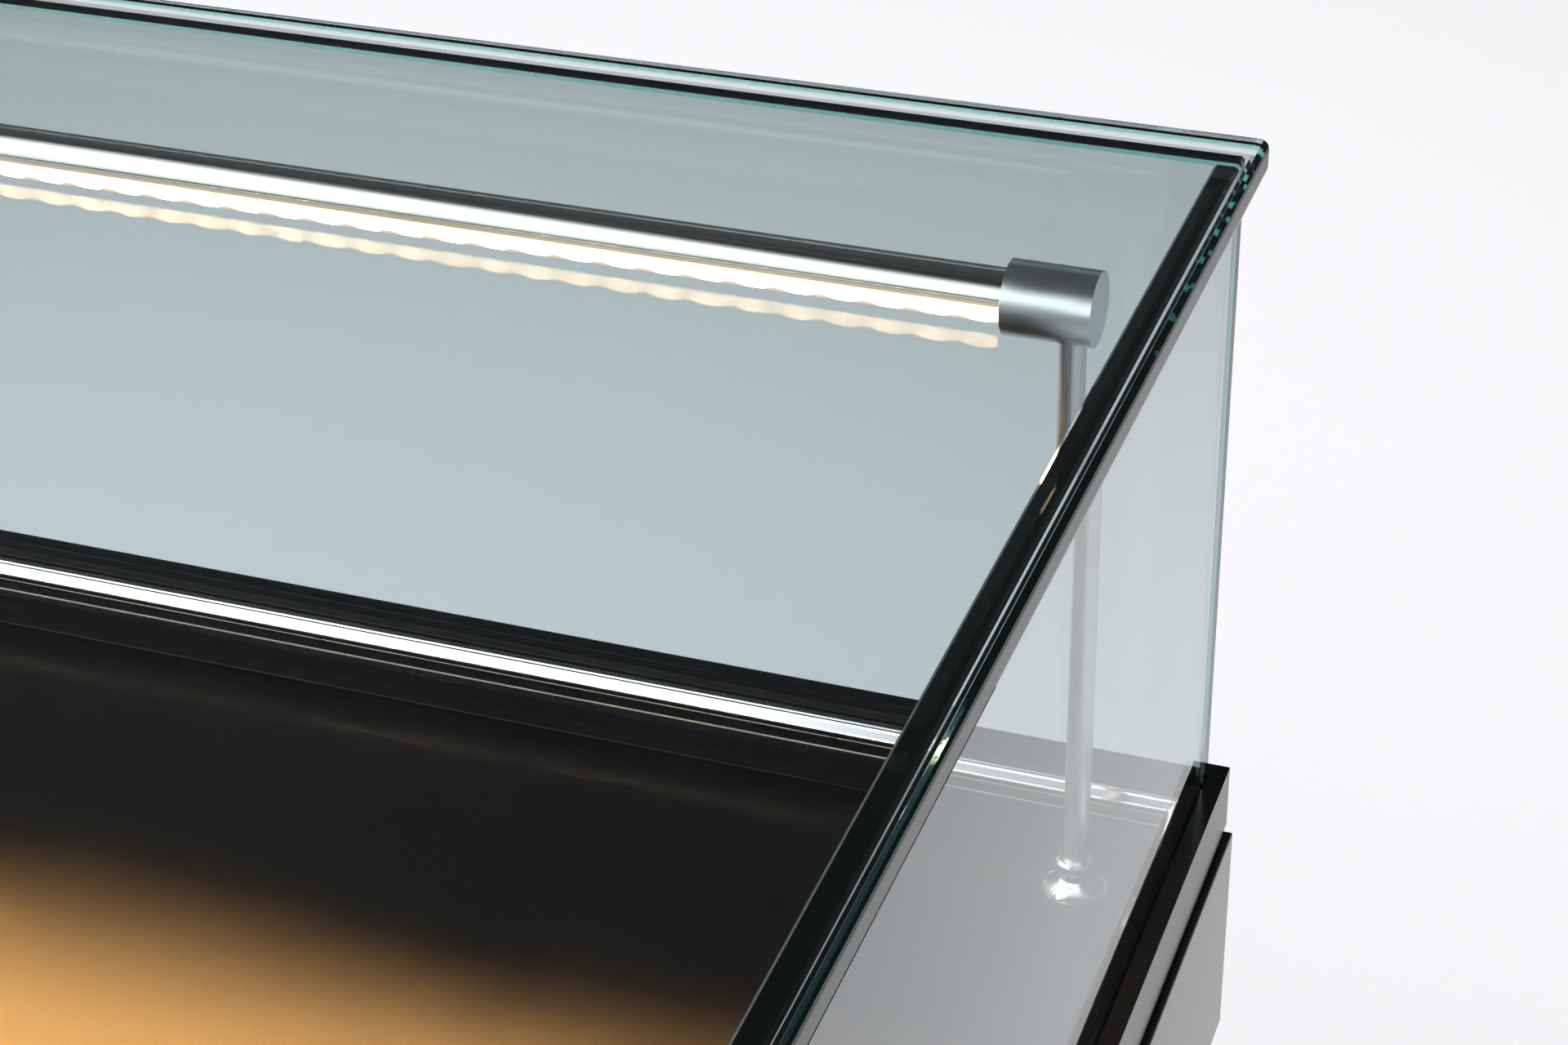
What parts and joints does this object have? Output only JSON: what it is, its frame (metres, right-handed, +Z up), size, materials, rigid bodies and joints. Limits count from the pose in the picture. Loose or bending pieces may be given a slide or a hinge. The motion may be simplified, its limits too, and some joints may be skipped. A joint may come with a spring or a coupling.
{
  "type": "glass display case on stand",
  "caption": "Low glass display case with an inside light bar and sliding staff-side doors, on a four-legged steel stand with levelling feet.",
  "frame": {"origin": "on the floor, below the middle of the case", "axes": "+X along the case's length, +Y towards the customer's side with the light bar, -Y towards the staff side with the sliding doors, +Z up"},
  "size_m": [1.205, 0.705, 0.95],
  "materials": {
    "clear_glass": "clear float glass, polished edges",
    "door_glass": "clear float glass, polished edges",
    "stand_black": "satin powder coat",
    "foot_steel": "zinc plated",
    "zinc_fasteners": "zinc plated",
    "skirt_black": "gloss black",
    "rail_black": "black anodised, satin gloss",
    "board_wood": "raw particle board",
    "pan_black": "satin powder coat",
    "deck_black": "satin black laminate",
    "driver_white": "moulded housing",
    "black_plastic": "moulded nylon",
    "polished_metal": "polished",
    "rubber_black": "matt",
    "track_black": "black anodised",
    "lock_chrome": "chrome plated",
    "tube_steel": "polished stainless steel",
    "led_board": "white solder mask",
    "led_cover": "frosted clear cover",
    "connector_aluminium": "turned and brushed",
    "post_chrome": "polished"
  },
  "bodies": {
    "case": {"leg_customer_left": "stand_black", "leg_customer_right": "stand_black", "leg_staff_left": "stand_black", "leg_staff_right": "stand_black", "stand_rail_customer": "stand_black", "stand_rail_staff": "stand_black", "stand_end_rails": "stand_black", "side_stretchers": "stand_black", "long_stretcher": "stand_black", "leg_inserts": "foot_steel", "stand_bolts": "zinc_fasteners", "skirt_customer": "skirt_black", "skirt_staff": "skirt_black", "skirt_left": "skirt_black", "skirt_right": "skirt_black", "base_battens": "board_wood", "base_pan": "pan_black", "base_screws": "zinc_fasteners", "deck_board": "board_wood", "deck_panel": "deck_black", "deck_edge_trim": "rail_black", "led_driver": "driver_white", "led_lead": "black_plastic", "power_gland": "black_plastic", "rail_customer": "rail_black", "rail_staff": "rail_black", "rail_left": "rail_black", "rail_right": "rail_black", "polished_strip": "polished_metal", "setting_blocks": "rubber_black", "glass_top": "clear_glass", "glass_customer": "clear_glass", "glass_left": "clear_glass", "glass_right": "clear_glass", "door_track_bottom": "track_black", "door_track_top": "track_black", "door_bumpers": "rubber_black", "connector_left": "connector_aluminium", "connector_right": "connector_aluminium", "post_left": "post_chrome", "post_right": "post_chrome", "post_flanges": "post_chrome", "grub_screws": "zinc_fasteners", "post_nuts": "zinc_fasteners"},
    "light_bar": {"light_tube": "tube_steel", "led_board": "led_board", "led_cover": "led_cover"},
    "left_door": {"door_glass_left": "door_glass", "door_shoe_left": "track_black", "door_pull_left": "lock_chrome"},
    "right_door": {"door_glass_right": "door_glass", "door_shoe_right": "track_black", "door_pull_right": "lock_chrome", "lock_body": "lock_chrome"},
    "lock_core": {"lock_barrel": "lock_chrome"},
    "leveller_customer_left": {"foot_customer_left": "foot_steel"},
    "leveller_customer_right": {"foot_customer_right": "foot_steel"},
    "leveller_staff_left": {"foot_staff_left": "foot_steel"},
    "leveller_staff_right": {"foot_staff_right": "foot_steel"}
  },
  "joints": [
    {"name": "light_bar_turn", "type": "hinge", "parent": "case", "child": "light_bar", "pos_m": [0, 0.286, 0.8895], "axis": [1, 0, 0], "range_deg": [-55, 35]},
    {"name": "left_door_slide", "type": "slide", "parent": "case", "child": "left_door", "axis": [1, 0, 0], "range_m": [0, 0.5584]},
    {"name": "right_door_slide", "type": "slide", "parent": "case", "child": "right_door", "axis": [1, 0, 0], "range_m": [-0.5584, 0]},
    {"name": "lock_turn", "type": "hinge", "parent": "right_door", "child": "lock_core", "pos_m": [0.01, -0.3405, 0.7], "axis": [0, 1, 0], "range_deg": [0, 90]},
    {"name": "leveller_customer_left_screw", "type": "slide", "parent": "case", "child": "leveller_customer_left", "axis": [0, 0, -1], "range_m": [0, 0.015]},
    {"name": "leveller_customer_right_screw", "type": "slide", "parent": "case", "child": "leveller_customer_right", "axis": [0, 0, -1], "range_m": [0, 0.015]},
    {"name": "leveller_staff_left_screw", "type": "slide", "parent": "case", "child": "leveller_staff_left", "axis": [0, 0, -1], "range_m": [0, 0.015]},
    {"name": "leveller_staff_right_screw", "type": "slide", "parent": "case", "child": "leveller_staff_right", "axis": [0, 0, -1], "range_m": [0, 0.015]}
  ]
}
